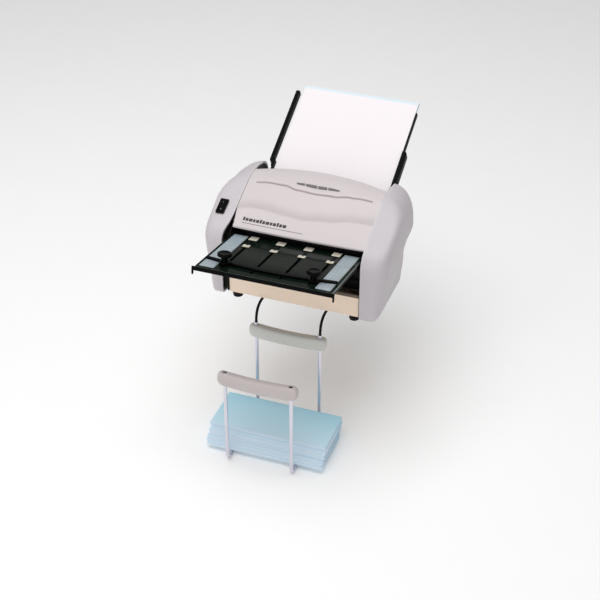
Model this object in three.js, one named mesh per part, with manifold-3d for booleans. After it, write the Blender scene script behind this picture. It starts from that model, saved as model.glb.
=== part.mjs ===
// Desktop automatic paper folder with a hanging wire stacker, in millimetres.
// +X is the machine's right, +Y its back, +Z up. The origin is on the table top under the middle of the machine.
import * as THREE from "three";
import { mergeVertices } from "three/addons/utils/BufferGeometryUtils.js";
import Module from "manifold-3d";

const wasm = await Module();
wasm.setup();

// ---- Driving dimensions ----
const SHEET_WIDTH = 216; // letter paper
const SHEET_LENGTH = 279;
const FIT_GAP = 0.4; // left between pieces that touch
const RUN_GAP = 0.4; // radial, round a turning shaft

const FRAME_IN = 117.2; // inner face of a side frame
const FRAME_T = 2;
const INNER_HALF = FRAME_IN - 0.7; // half width of what sits between the frames
const CASING_IN = FRAME_IN + FRAME_T + FIT_GAP;
const CASING_HALF = 164.5; // widest, at shoulder height
const CASING_FOOT_HALF = 153; // at the bottom
const WALL = 3;

const FOOT_H = 12;
const BASE_FRONT = -90;
const BASE_BACK = 94;
const APRON_TOP = 49;
const SHEET_METAL = 1.5;

const ROLLER_R = 12.5;
const ROLLER_HALF = 106;
const SHAFT_R = 4;
const GEAR_MODULE = 1.6;
const ROLLER_TEETH = 16;
const FEED_IDLER_TEETH = 34;
const MOTOR_IDLER_TEETH = 40;
const PINION_TEETH = 10;
const GEAR_X = 123.3;
const GEAR_W = 7;

const PLATE_SLOPE = THREE.MathUtils.degToRad(10.5);
const PLATE_REAR = [-56, 111]; // y and z of the sheet path where it enters the upper fold plate
const PLATE_LENGTH = 180;
const LOWER_SLOPE = 0.09;
const LOWER_REAR = [-20, 82]; // y and z where the sheet enters the lower fold plate
const LOWER_HALF = 112;
const FEED_SLOPE = THREE.MathUtils.degToRad(27.5);
const FEED_FOOT = [25, 112.3]; // y and z of the top sheet's leading edge
const HOOD_SLOPE = Math.atan(0.4286);

const WIRE_R = 3.4;
const ROD_R = 2.4; // the black rods that carry the wires
const WIRE_X = 58;
const STACKER_REAR = -116; // y of the upright wires
const STACKER_FRONT = -258;
const STACKER_FLOOR = -213;
const REAR_BAR_TOP = -25;
const FRONT_BAR_TOP = -28;
const BAR_H = 26;

// ---- Solids and meshes ----
const machine = new THREE.Group();

function toSolid(geometry) {
  const bare = new THREE.BufferGeometry();
  bare.setAttribute("position", geometry.getAttribute("position"));
  bare.setIndex(geometry.index);
  const merged = mergeVertices(bare, 1e-3);
  return new wasm.Manifold(
    new wasm.Mesh({
      numProp: 3,
      vertProperties: new Float32Array(merged.attributes.position.array),
      triVerts: new Uint32Array(merged.index.array),
    }),
  );
}

function toGeometry(solid) {
  const mesh = solid.getMesh();
  const geometry = new THREE.BufferGeometry();
  geometry.setAttribute("position", new THREE.BufferAttribute(mesh.vertProperties, 3));
  geometry.setIndex(new THREE.BufferAttribute(mesh.triVerts, 1));
  return geometry;
}

function cut(body, ...tools) {
  return toGeometry(tools.reduce((solid, tool) => solid.subtract(toSolid(tool)), toSolid(body)));
}

function join(body, ...others) {
  return toGeometry(others.reduce((solid, other) => solid.add(toSolid(other)), toSolid(body)));
}

const finishes = {
  shell_grey: { color: 0xcbc5c6, roughness: 0.5, metalness: 0 },
  stacker_grey: { color: 0xb2ada9, roughness: 0.5, metalness: 0 },
  black_plastic: { color: 0x17181a, roughness: 0.45, metalness: 0 },
  black_steel: { color: 0x1c1e1e, roughness: 0.4, metalness: 0.3 },
  cream_paint: { color: 0xead2bc, roughness: 0.45, metalness: 0.1 },
  smoked_acrylic: { color: 0x2c3a36, roughness: 0.08, metalness: 0 },
  bright_steel: { color: 0xc9c9c6, roughness: 0.25, metalness: 0.9 },
  rubber: { color: 0x202020, roughness: 0.8, metalness: 0 },
  nylon: { color: 0xe6e1d3, roughness: 0.5, metalness: 0 },
  label: { color: 0xc4d2d6, roughness: 0.4, metalness: 0 },
  white_paper: { color: 0xf6f3f5, roughness: 0.9, metalness: 0 },
  blue_paper: { color: 0xa9d0e3, roughness: 0.9, metalness: 0 },
};
const materials = Object.fromEntries(
  Object.entries(finishes).map(([name, finish]) => [name, new THREE.MeshStandardMaterial(finish)]),
);

function add(name, geometry, finish, parent = machine) {
  const mesh = new THREE.Mesh(geometry, materials[finish]);
  mesh.name = name;
  parent.add(mesh);
  return mesh;
}

function box(x0, x1, y0, y1, z0, z1) {
  const geometry = new THREE.BoxGeometry(x1 - x0, y1 - y0, z1 - z0);
  return geometry.translate((x0 + x1) / 2, (y0 + y1) / 2, (z0 + z1) / 2);
}

function rodX(radius, x0, x1, y, z, sides = 20) {
  const geometry = new THREE.CylinderGeometry(radius, radius, x1 - x0, sides);
  return geometry.rotateZ(-Math.PI / 2).translate((x0 + x1) / 2, y, z);
}

function rodY(radius, y0, y1, x, z, sides = 16) {
  const geometry = new THREE.CylinderGeometry(radius, radius, y1 - y0, sides);
  return geometry.translate(x, (y0 + y1) / 2, z);
}

function rodZ(radius, z0, z1, x, y, sides = 20) {
  const geometry = new THREE.CylinderGeometry(radius, radius, z1 - z0, sides);
  return geometry.rotateX(Math.PI / 2).translate(x, y, (z0 + z1) / 2);
}

// A shape drawn in Y and Z, swept along X from x0 to x1.
const sideways = new THREE.Matrix4().makeBasis(
  new THREE.Vector3(0, 1, 0),
  new THREE.Vector3(0, 0, 1),
  new THREE.Vector3(1, 0, 0),
);
function sweepX(shape, x0, x1, steps = 1, curveSegments = 6) {
  const options = { depth: x1 - x0, steps, curveSegments, bevelEnabled: false };
  return new THREE.ExtrudeGeometry(shape, options).applyMatrix4(sideways).translate(x0, 0, 0);
}

// A shape drawn in X and Y, swept up from z0 to z1.
function sweepZ(shape, z0, z1, curveSegments = 6) {
  const options = { depth: z1 - z0, steps: 1, curveSegments, bevelEnabled: false };
  return new THREE.ExtrudeGeometry(shape, options).translate(0, 0, z0);
}

function polygon(points) {
  return new THREE.Shape(points.map(([a, b]) => new THREE.Vector2(a, b)));
}

function warp(geometry, move) {
  const position = geometry.getAttribute("position");
  const point = new THREE.Vector3();
  for (let i = 0; i < position.count; i++) {
    point.fromBufferAttribute(position, i);
    move(point);
    position.setXYZ(i, point.x, point.y, point.z);
  }
  return geometry;
}

// ---- Side casings ----
// A side casing is its side profile swept outwards, squeezed to a plan with round corners,
// and drawn in towards its foot. `inset` makes the hollow inside the wall.
function lineInSteps(shape, [a0, b0], [a1, b1], steps) {
  for (let i = 1; i <= steps; i++) {
    shape.lineTo(a0 + ((a1 - a0) * i) / steps, b0 + ((b1 - b0) * i) / steps);
  }
}

function casingProfile(inset) {
  const front = -97 + inset;
  const top = -inset;
  const foot = 9 + inset;
  const shape = new THREE.Shape();
  shape.moveTo(front + 8, foot);
  lineInSteps(shape, [front + 8, foot], [54 - inset, foot], 3);
  shape.lineTo(84 - inset, 50);
  shape.lineTo(84 - inset, 72);
  shape.lineTo(84 - inset, 93 + inset);
  shape.lineTo(112 - inset, 99 + inset);
  shape.lineTo(112 - inset, 130);
  shape.quadraticCurveTo(112 - inset, 174 + top, 80, 177 + top);
  shape.quadraticCurveTo(46, 186 + top, 13, 177 + top);
  lineInSteps(shape, [13, 177 + top], [-72, 140.6 + top], 6);
  shape.quadraticCurveTo(front, 130 + top, front, 108);
  lineInSteps(shape, [front, 108], [front, foot + 8], 4);
  shape.quadraticCurveTo(front, foot, front + 8, foot);
  return shape;
}

// How far a round corner of `radius`, ending at `end`, has turned in at x.
function cornerInset(x, end, radius) {
  const past = THREE.MathUtils.clamp(x - (end - radius), 0, radius);
  return radius - Math.sqrt(radius * radius - past * past);
}

const FRONT_CORNER = 24;
const REAR_CORNER = 56;
const TOP_EDGE_FRONT = 9.6; // the top's outer edge is rounded a little at the front
const TOP_EDGE_REAR = 44; // and right across at the back
const BOTTOM_EDGE = 12.5;
const LEFT_FLARE = 7; // the left casing's open side draws back from its frame at the very front
const SHOULDER_Z = 118;
const STEP_Z = 74; // at the back the shoulder steps in above this height

function shapeCasing(p, end, x0, flare) {
  const { x, y } = p;
  const { clamp, smoothstep } = THREE.MathUtils;
  if (y < -20) p.y += (cornerInset(x, end, FRONT_CORNER) * (-20 - y)) / 77;
  if (y > 20) p.y -= (cornerInset(x, end, REAR_CORNER) * (y - 20)) / 92;
  const topEdge = TOP_EDGE_FRONT + (TOP_EDGE_REAR - TOP_EDGE_FRONT) * smoothstep(y, -24, 46);
  const high = clamp((p.z - 90) / 50, 0, 1);
  const low = clamp((45 - p.z) / 36, 0, 1);
  p.z += cornerInset(x, end, BOTTOM_EDGE) * low - cornerInset(x, end, topEdge) * high;
  const stepped = smoothstep(y, -60, 70);
  const drawnFrom = 9 + (STEP_Z - 9) * stepped;
  const drawnIn = (CASING_HALF - CASING_FOOT_HALF) * (1 - smoothstep(p.z, drawnFrom, SHOULDER_Z));
  const drawnBack = flare * smoothstep(-y, 64, 96);
  p.x += (drawnBack * (end - x) - drawnIn * (x - x0)) / (end - x0);
}

function casingBody(inset, x0, flare) {
  const end = CASING_HALF - inset;
  const geometry = sweepX(casingProfile(inset), 0, 1, 10, 5);
  return warp(geometry, (p) => {
    p.x = x0 + (end - x0) * Math.sin((p.x * Math.PI) / 2);
    shapeCasing(p, end, x0, flare);
  });
}

const SWITCH_X = -143.5;
const SWITCH_Y = -47.5;
const SWITCH_Z = 152.17;

function addCasings() {
  const shell = (flare) => cut(casingBody(0, CASING_IN, flare), casingBody(WALL, CASING_IN - 4, flare));
  add("casing_right", shell(0), "shell_grey");
  const opening = box(-6.6, 6.6, -14, 14, -30, 8);
  opening.rotateX(HOOD_SLOPE).translate(-SWITCH_X, SWITCH_Y, SWITCH_Z);
  add("casing_left", cut(shell(LEFT_FLARE), opening), "shell_grey").scale.x = -1;
}

function addPowerSwitch() {
  const mount = new THREE.Group();
  mount.position.set(SWITCH_X, SWITCH_Y, SWITCH_Z);
  mount.rotation.x = HOOD_SLOPE;
  machine.add(mount);
  const flange = join(box(-7.8, 7.8, -15.4, 15.4, 0.6, 2.2), box(-6.2, 6.2, -13.6, 13.6, -20, 1));
  const well = box(-5, 5, -12.4, 12.4, -9, 3);
  add("switch_bezel", cut(flange, well), "black_plastic", mount);
  // The rocker tips about an axle across the well; its top is two flats that meet at the axle.
  const rocker = polygon([
    [-11.6, 2.4],
    [-11.4, 0.4],
    [-5, -4.6],
    [5, -4.6],
    [11.4, 0.4],
    [11.6, 4.4],
    [0, 2.8],
  ]);
  add("switch_rocker", sweepX(rocker, -4.6, 4.6), "black_plastic", mount);
}

// ---- Hood, base and rear cover ----
const HOOD_HALF = CASING_IN - FIT_GAP;
const HOOD_CROWN = 7; // the middle of the hood stands this much proud of its ends
const HOOD_SWEEP = 14; // and its rear edge curves this much further back there
const LIP_LEFT = 113.5; // the lower lip's reach on the left, which leaves a notch beside that casing

function addHood() {
  const shape = new THREE.Shape();
  shape.moveTo(-76, 134);
  shape.lineTo(-74.6, 132.5);
  shape.lineTo(-72, 135.6);
  shape.lineTo(12.5, 171.4);
  shape.quadraticCurveTo(38, 179.6, 60, 177);
  shape.lineTo(63, 172);
  shape.lineTo(66, 173);
  shape.quadraticCurveTo(64, 179.6, 60, 180.4);
  shape.quadraticCurveTo(38, 183, 11.5, 174.8);
  shape.lineTo(-74, 138.2);
  shape.quadraticCurveTo(-76.5, 137, -76, 134);
  const geometry = sweepX(shape, -HOOD_HALF, HOOD_HALF, 12, 4);
  warp(geometry, (p) => {
    const side = (p.x / HOOD_HALF) ** 2;
    const nearLip = 1 - THREE.MathUtils.smoothstep(p.y, -76, -36);
    p.z += HOOD_CROWN * (1 - side) * THREE.MathUtils.smoothstep(p.y, -76, 40);
    p.y -= HOOD_SWEEP * side * THREE.MathUtils.smoothstep(p.y, 16, 66);
    p.y -= 3 * (1 - side) * nearLip;
    if (p.x < 0) p.x *= 1 - (1 - LIP_LEFT / HOOD_HALF) * nearLip;
  });
  add("hood_cover", geometry, "shell_grey");
}

function addBase() {
  const shape = polygon([
    [BASE_FRONT, FOOT_H],
    [BASE_BACK, FOOT_H],
    [BASE_BACK, FOOT_H + 14],
    [BASE_BACK - SHEET_METAL, FOOT_H + 14],
    [BASE_BACK - SHEET_METAL, FOOT_H + SHEET_METAL],
    [BASE_FRONT + SHEET_METAL, FOOT_H + SHEET_METAL],
    [BASE_FRONT + SHEET_METAL, APRON_TOP - SHEET_METAL],
    [BASE_FRONT + 9, APRON_TOP - SHEET_METAL],
    [BASE_FRONT + 9, APRON_TOP],
    [BASE_FRONT, APRON_TOP],
  ]);
  add("base_pan", sweepX(shape, -INNER_HALF, INNER_HALF), "cream_paint");
  for (const [row, y] of [["front", -78], ["rear", 78]]) {
    for (const [side, x] of [["left", -106], ["right", 106]]) {
      const pad = new THREE.CylinderGeometry(10, 8.6, FOOT_H - FIT_GAP, 16);
      pad.rotateX(Math.PI / 2).translate(x, y, (FOOT_H - FIT_GAP) / 2);
      add(`foot_${row}_${side}`, pad, "rubber");
    }
  }
}

const INLET_X = -72;
const INLET_Z = 46;

function addRearCover() {
  const back = BASE_BACK + FIT_GAP;
  const shape = polygon([
    [back, FOOT_H + 2],
    [back + 2.6, FOOT_H + 2],
    [back + 2.6, 122],
    [back - 10, 128],
    [back - 11, 125.6],
    [back, 120.4],
  ]);
  const panel = sweepX(shape, -INNER_HALF, INNER_HALF);
  const inletHole = box(INLET_X - 14, INLET_X + 14, back - 5, back + 5, INLET_Z - 10.5, INLET_Z + 10.5);
  const vents = [0, 1, 2, 3, 4].map((i) => box(30, 80, back - 5, back + 5, 30 + i * 9, 33 + i * 9));
  const plateSlot = box(-LOWER_HALF - 1, LOWER_HALF + 1, back - 5, back + 5, 66, 78);
  add("rear_cover", cut(panel, inletHole, plateSlot, ...vents), "shell_grey");
  const x0 = INLET_X - 13.6;
  const x1 = INLET_X + 13.6;
  const body = join(
    box(x0, x1, back - 18, back + 3, INLET_Z - 10.1, INLET_Z + 10.1),
    box(x0 - 3, x1 + 3, back + 3, back + 5, INLET_Z - 13, INLET_Z + 13),
  );
  const socket = box(INLET_X - 11.5, INLET_X + 11.5, back - 14, back + 6, INLET_Z - 7.5, INLET_Z + 7.5);
  const pins = [-7, 0, 7].map((dx, i) => {
    const z = INLET_Z + (i === 1 ? 2 : -1.5);
    return box(INLET_X + dx - 1, INLET_X + dx + 1, back - 15, back - 4, z - 2.2, z + 2.2);
  });
  add("power_inlet", join(cut(body, socket), ...pins), "black_plastic");
}

// ---- Rollers, gears and motor ----
// Centres are y and z. The four fold rollers stand in a zigzag column, and the feed roller
// presses on the top sheet near its leading edge.
const rollerCentres = {
  infeed: [-40, 120.5],
  upper_fold: [-36, 95.2],
  lower_fold: [-40, 69.9],
  outfeed: [-36, 44.6],
};
const feedLocal = [22, ROLLER_R + 0.5];
const feedCentre = [
  FEED_FOOT[0] + feedLocal[0] * Math.cos(FEED_SLOPE) - feedLocal[1] * Math.sin(FEED_SLOPE),
  FEED_FOOT[1] + feedLocal[0] * Math.sin(FEED_SLOPE) + feedLocal[1] * Math.cos(FEED_SLOPE),
];

const pitchRadius = (teeth) => (teeth * GEAR_MODULE) / 2;

// The centre that meshes with gears at a and b, on the right-hand side of the way from a to b.
function meshingCentre(a, teethA, b, teethB, teeth) {
  const reachA = pitchRadius(teethA) + pitchRadius(teeth);
  const reachB = pitchRadius(teethB) + pitchRadius(teeth);
  const dy = b[0] - a[0];
  const dz = b[1] - a[1];
  const span = Math.hypot(dy, dz);
  const along = (reachA ** 2 - reachB ** 2 + span ** 2) / (2 * span);
  const aside = Math.sqrt(reachA ** 2 - along ** 2);
  return [a[0] + (dy * along + dz * aside) / span, a[1] + (dz * along - dy * aside) / span];
}

const feedIdlerCentre = meshingCentre(
  rollerCentres.infeed,
  ROLLER_TEETH,
  feedCentre,
  ROLLER_TEETH,
  FEED_IDLER_TEETH,
);
const motorIdlerReach = pitchRadius(ROLLER_TEETH) + pitchRadius(MOTOR_IDLER_TEETH);
const motorIdlerCentre = [
  rollerCentres.outfeed[0] + motorIdlerReach * Math.cos(0.166),
  rollerCentres.outfeed[1] + motorIdlerReach * Math.sin(0.166),
];
const pinionReach = pitchRadius(PINION_TEETH) + pitchRadius(MOTOR_IDLER_TEETH);
const motorCentre = [
  motorIdlerCentre[0] + pinionReach * Math.cos(-0.175),
  motorIdlerCentre[1] + pinionReach * Math.sin(-0.175),
];

// Where gear b's first tooth points, so that it meshes with gear a, whose first tooth points at phaseA.
function meshPhase(a, teethA, phaseA, b, teethB) {
  const towards = Math.atan2(b[1] - a[1], b[0] - a[0]);
  const offsetA = ((towards - phaseA) * teethA) / (2 * Math.PI);
  return towards + Math.PI - ((0.5 - offsetA) * 2 * Math.PI) / teethB;
}

function gear(teeth, centre, phase, bore, x0 = GEAR_X, x1 = GEAR_X + GEAR_W) {
  const radius = pitchRadius(teeth);
  const pitch = (2 * Math.PI) / teeth;
  const tip = radius + 0.8 * GEAR_MODULE;
  const root = radius - 1.1 * GEAR_MODULE;
  const points = [];
  for (let i = 0; i < teeth; i++) {
    const middle = phase + i * pitch;
    for (const [r, half] of [[root, -0.34], [tip, -0.13], [tip, 0.13], [root, 0.34]]) {
      const angle = middle + half * pitch;
      points.push([centre[0] + r * Math.cos(angle), centre[1] + r * Math.sin(angle)]);
    }
  }
  const shape = polygon(points);
  const hole = new THREE.Path();
  hole.absarc(centre[0], centre[1], bore, 0, 2 * Math.PI, true);
  shape.holes.push(hole);
  return sweepX(shape, x0, x1, 1, 8);
}

function roller(centre) {
  const [y, z] = centre;
  const shaft = rodX(SHAFT_R, -124, GEAR_X + GEAR_W + 2, y, z, 16);
  return join(rodX(ROLLER_R, -ROLLER_HALF, ROLLER_HALF, y, z, 24), shaft);
}

function addRollers() {
  const order = ["infeed", "upper_fold", "lower_fold", "outfeed"];
  const phases = { infeed: 0 };
  order.slice(1).forEach((name, i) => {
    const before = order[i];
    phases[name] = meshPhase(
      rollerCentres[before], ROLLER_TEETH, phases[before], rollerCentres[name], ROLLER_TEETH,
    );
  });
  for (const name of order) {
    add(`${name}_roller`, roller(rollerCentres[name]), "rubber");
    add(`${name}_gear`, gear(ROLLER_TEETH, rollerCentres[name], phases[name], SHAFT_R + FIT_GAP), "nylon");
  }

  const feedIdlerPhase = meshPhase(
    rollerCentres.infeed, ROLLER_TEETH, phases.infeed, feedIdlerCentre, FEED_IDLER_TEETH,
  );
  const feedPhase = meshPhase(feedIdlerCentre, FEED_IDLER_TEETH, feedIdlerPhase, feedCentre, ROLLER_TEETH);
  const [feedY, feedZ] = feedCentre;
  const tyres = [-52, 52].map((x) => rodX(ROLLER_R, x - 16, x + 16, feedY, feedZ, 24));
  const feedShaft = rodX(SHAFT_R, -124, GEAR_X + GEAR_W + 2, feedY, feedZ, 16);
  add("feed_roller", join(feedShaft, ...tyres), "rubber");
  add("feed_gear", gear(ROLLER_TEETH, feedCentre, feedPhase, SHAFT_R + FIT_GAP), "nylon");
  add("feed_idler_gear", gear(FEED_IDLER_TEETH, feedIdlerCentre, feedIdlerPhase, 3.4), "nylon");

  const motorIdlerPhase = meshPhase(
    rollerCentres.outfeed, ROLLER_TEETH, phases.outfeed, motorIdlerCentre, MOTOR_IDLER_TEETH,
  );
  add("motor_idler_gear", gear(MOTOR_IDLER_TEETH, motorIdlerCentre, motorIdlerPhase, 3.4), "nylon");
  const pinionPhase = meshPhase(
    motorIdlerCentre, MOTOR_IDLER_TEETH, motorIdlerPhase, motorCentre, PINION_TEETH,
  );
  const pinion = gear(PINION_TEETH, motorCentre, pinionPhase, 1.5);
  const shaft = rodX(3, 108, GEAR_X + GEAR_W + 1, motorCentre[0], motorCentre[1], 12);
  add("motor_pinion", join(pinion, shaft), "bright_steel");
}

function addMotor() {
  const [y, z] = motorCentre;
  const can = rodX(24, 46, 108, y, z, 24);
  const endPlate = box(108, FRAME_IN - FIT_GAP, y - 26, y + 26, z - 22, z + 22);
  const shaftHole = rodX(4, 104, FRAME_IN + 1, y, z, 16);
  add("drive_motor", cut(join(can, endPlate), shaftHole), "black_steel");
}

// ---- Side frames and bearing plates ----
const frameOutline = [
  [-92, FOOT_H + 2.2],
  [70, FOOT_H + 2.2],
  [80, 40],
  [80, 88],
  [98, 104],
  [104, 126],
  [102, 150],
  [92, 167],
  [80, 173.5],
  [68, 176.6],
  [56, 177.6],
  [56, 166],
  [12, 164],
  [-66, 130.5],
  [-92, 110],
];

// Ledges on the frames hold the two fold plates, each between a lower and an upper one.
function plateLedges() {
  const [y, z] = PLATE_REAR;
  const inner = FRAME_IN - 4.5;
  const outer = FRAME_IN + 0.5;
  const upper = [[-6.2, -3.6], [4.6, 6.4]].map(([z0, z1]) => {
    const ledge = box(inner, outer, -26, -4, z0, z1);
    return ledge.rotateX(-PLATE_SLOPE).translate(0, y, z);
  });
  const lower = [[-5, -3.1], [3.1, 5]].map(([z0, z1]) => {
    const ledge = box(LOWER_HALF - 4.5, outer, 8, 84, z0, z1);
    return ledge.rotateX(-LOWER_SLOPE).translate(0, ...LOWER_REAR);
  });
  return [...upper, ...lower];
}

function addFrames() {
  const holes = [...Object.values(rollerCentres), feedCentre].map(([y, z]) =>
    rodX(SHAFT_R + RUN_GAP, FRAME_IN - 1, FRAME_IN + FRAME_T + 5, y, z, 16),
  );
  const plate = sweepX(polygon(frameOutline), FRAME_IN, FRAME_IN + FRAME_T);
  // The left frame's front edge is turned outwards, which closes the gap to the casing.
  const flange = box(FRAME_IN + 0.5, FRAME_IN + 11, -91.5, -89.5, FOOT_H + 8, 106);
  const left = join(cut(plate, ...holes), flange, ...plateLedges());
  add("side_frame_left", left, "black_steel").scale.x = -1;

  const motorHole = rodX(6, FRAME_IN - 1, FRAME_IN + FRAME_T + 1, motorCentre[0], motorCentre[1], 16);
  const axles = [feedIdlerCentre, motorIdlerCentre].map(([y, z]) =>
    rodX(3, FRAME_IN + 0.5, GEAR_X + GEAR_W + 1, y, z, 12),
  );
  const right = join(cut(plate, ...holes, motorHole), ...axles, ...plateLedges());
  add("side_frame_right", right, "black_steel");

  const x0 = FRAME_IN + FRAME_T + FIT_GAP;
  const strip = box(x0, x0 + 2.8, -52, -24, 32, 133);
  const bearing = cut(strip, ...holes.slice(0, 4));
  add("bearing_plate_right", bearing, "nylon");
  add("bearing_plate_left", bearing, "nylon").scale.x = -1;
  add("rear_tie_bar", box(-FRAME_IN + FIT_GAP, FRAME_IN - FIT_GAP, 66, 76, 96, 108), "black_steel");
}

// ---- Feeder ----
const PAPER_STACK = 7; // depth of the loaded sheets

// A paper guide is slim beside the frames, wider behind them, and widest above the casings,
// which leaves it room to slide outwards.
function guideShape(inner, outer, length, roundEnd) {
  const shape = new THREE.Shape();
  shape.moveTo(inner, 24);
  shape.lineTo(inner + 2.4, 24);
  shape.lineTo(inner + 2.4, 91);
  shape.lineTo(114.9, 94);
  shape.lineTo(114.9, 101);
  shape.lineTo(outer, 105);
  if (roundEnd) {
    shape.lineTo(outer, length - 6);
    shape.absarc(outer - 6, length - 6, 6, 0, Math.PI / 2, false);
  } else {
    shape.lineTo(outer, length);
    shape.lineTo(outer - 7, length);
    shape.lineTo(outer - 7, 112);
    shape.lineTo(inner, 108);
    return shape;
  }
  shape.lineTo(inner, length);
  return shape;
}

function addFeeder() {
  const feeder = new THREE.Group();
  feeder.position.set(0, ...FEED_FOOT);
  feeder.rotation.x = FEED_SLOPE;
  machine.add(feeder);

  const floor = -PAPER_STACK - FIT_GAP;
  const tray = polygon([
    [-104, -2],
    [107.6, -2],
    [107.6, 258],
    [-104, 258],
  ]);
  const plate = sweepZ(tray, floor - 2, floor);
  const ribs = [-70, 0, 70].map((x) => box(x - 3, x + 3, 92, 250, floor - 8, floor - 1));
  const toe = box(-104, 107.6, -4, -2 + 1, floor - 2, floor + 5);
  add("feed_tray", join(plate, toe, ...ribs), "black_plastic", feeder);

  const half = SHEET_WIDTH / 2;
  const slant = 4; // the leading edges are fanned, so that the sheets feed one by one
  const sheets = polygon([
    [0.5, 0],
    [0.5 + slant, -PAPER_STACK],
    [SHEET_LENGTH + slant, -PAPER_STACK],
    [SHEET_LENGTH, 0],
  ]);
  add("paper_stack", sweepX(sheets, -half, half), "white_paper", feeder);

  const low = -PAPER_STACK;
  const longGuide = sweepZ(guideShape(110.2, 120.2, 262, false), low, 4);
  const bar = sweepZ(guideShape(108.6, 117.6, 168, true), low, 5.5);
  const shortGuide = join(bar, box(108.6, 110.8, 160, 256, low, 0.6));
  add("paper_guide_left", longGuide, "black_plastic", feeder).scale.x = -1;
  add("paper_guide_right", shortGuide, "black_plastic", feeder);

  const rampPoints = [
    [20, 99.6],
    [21, 107.6],
    [-20, 104.6],
    [-20, 103],
    [19, 105.6],
    [18, 99.6],
  ];
  add("feed_ramp", sweepX(polygon(rampPoints), -INNER_HALF, INNER_HALF), "black_steel");
  const pad = box(-15, 15, 3, 9, 107.6, 110);
  add("separator_pad", pad, "rubber");
}

// ---- Lower fold plate ----
function addLowerFoldPlate() {
  const group = new THREE.Group();
  group.position.set(0, ...LOWER_REAR);
  group.rotation.x = -LOWER_SLOPE;
  machine.add(group);
  const body = box(-LOWER_HALF, LOWER_HALF, 0, 104, -2.7, 2.7);
  const gap = box(-109, 109, -1, 105, -1.3, 1.3);
  add("lower_fold_plate", cut(body, gap), "bright_steel", group);
  const bar = join(box(-104, 104, 74, 80, -0.9, 0.9), box(-12, 12, 78, 110, -0.9, 0.9));
  add("lower_stop", bar, "black_steel", group);
}

// ---- Upper fold plate, with its stop bar and knobs ----
const SLOT_X = [-73.5, -24.5, 24.5, 73.5];
const STOP_AT = 142; // from the plate's rear edge to the stop bar
const KNOB_X = 76;
const EAR_HALF = 120.5; // half width of the plate's front edge, with its two ears

function addUpperFoldPlate() {
  const group = new THREE.Group();
  group.position.set(0, ...PLATE_REAR);
  group.rotation.x = -PLATE_SLOPE;
  machine.add(group);

  const front = -PLATE_LENGTH;
  const half = 112;
  const slots = SLOT_X.map((x) => box(x - 2.5, x + 2.5, front + 14, -52, -5, 8));
  const lower = cut(box(-half, half, front + 3.4, -2, -2.7, -1.2), ...slots);
  add("lower_sheet", lower, "black_steel", group);
  const upper = cut(box(-half, half, front + 3.4, -6, 1.2, 4), ...slots);
  add("clear_cover", upper, "smoked_acrylic", group);

  const rim = new THREE.Shape();
  rim.moveTo(-INNER_HALF, -2);
  rim.lineTo(-INNER_HALF, front + 4);
  rim.lineTo(-EAR_HALF, front + 4);
  rim.lineTo(-EAR_HALF, front);
  rim.lineTo(EAR_HALF, front);
  rim.lineTo(EAR_HALF, front + 4);
  rim.lineTo(INNER_HALF, front + 4);
  rim.lineTo(INNER_HALF, -2);
  rim.lineTo(half + FIT_GAP, -2);
  rim.lineTo(half + FIT_GAP, front + 3);
  rim.lineTo(-half - FIT_GAP, front + 3);
  rim.lineTo(-half - FIT_GAP, -2);
  // A small fin hangs from each front corner.
  const fins = [-EAR_HALF, EAR_HALF - 3].map((x) => {
    const fin = [[front, -2.8], [front + 0.8, -10.5], [front + 1.8, -10.5], [front + 4, -8], [front + 4, -2.8]];
    return sweepX(polygon(fin), x, x + 3);
  });
  add("plate_rim", join(sweepZ(rim, -3.2, 4.2), ...fins), "black_steel", group);

  for (const [side, sign] of [["left", -1], ["right", 1]]) {
    const [x0, x1] = [sign * 85.5, sign * 111].sort((a, b) => a - b);
    add(`scale_label_${side}`, box(x0, x1, front + 8, -18, 4.3, 4.7), "label", group);
  }

  // Four spring fingers on one strip hold the sheet down where it enters.
  const strip = box(-90, 90, -16, -9, 4.4, 5.6);
  const fingers = SLOT_X.flatMap((x) => [
    box(x - 7.5, x + 7.5, -36, -15, 4.4, 5.6),
    box(x - 2, x + 2, -56, -35, 4.4, 5.6),
    box(x - 6.5, x + 6.5, -66, -55, 4.4, 5.6),
  ]);
  add("finger_strip", join(strip, ...fingers), "bright_steel", group);

  addStopBar(group);
}

function addStopBar(group) {
  // Seen from above, the bar is a crescent whose ends sweep back.
  const end = 113;
  const bar = new THREE.Shape();
  bar.moveTo(-end, -STOP_AT + 5);
  bar.lineTo(-end, -STOP_AT);
  bar.quadraticCurveTo(0, -STOP_AT - 26, end, -STOP_AT);
  bar.lineTo(end, -STOP_AT + 5);
  bar.quadraticCurveTo(0, -STOP_AT - 10, -end, -STOP_AT + 5);
  const body = sweepZ(bar, 5.2, 9, 10);
  const tongues = SLOT_X.map((x) => box(x - 1.6, x + 1.6, -STOP_AT - 9, -STOP_AT - 3.5, -0.8, 6));
  const seats = [-KNOB_X, KNOB_X].map((x) => rodZ(9, 5.2, 10, x, -STOP_AT - 8, 16));
  const bores = [-KNOB_X, KNOB_X].map((x) => rodZ(3.2, 4, 12, x, -STOP_AT - 8, 12));
  add("stop_bar", cut(join(body, ...tongues, ...seats), ...bores), "black_plastic", group);
  for (const [side, x] of [["left", -KNOB_X], ["right", KNOB_X]]) {
    const knob = join(
      rodZ(2.6, 5.6, 14, x, -STOP_AT - 8, 12),
      rodZ(6, 10.4, 21, x, -STOP_AT - 8, 16),
      rodZ(12, 19, 25, x, -STOP_AT - 8, 20),
    );
    add(`clamp_knob_${side}`, knob, "black_plastic", group);
  }
}

// ---- Hanging stacker ----
// A black rod runs forward under the base, bends down over the table's edge and ends in the
// top of a plated wire, which goes on down, along the bottom and up again at the front.
const SOCKET_DEPTH = 14;
const WIRE_TOP = REAR_BAR_TOP + 3;

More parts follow.
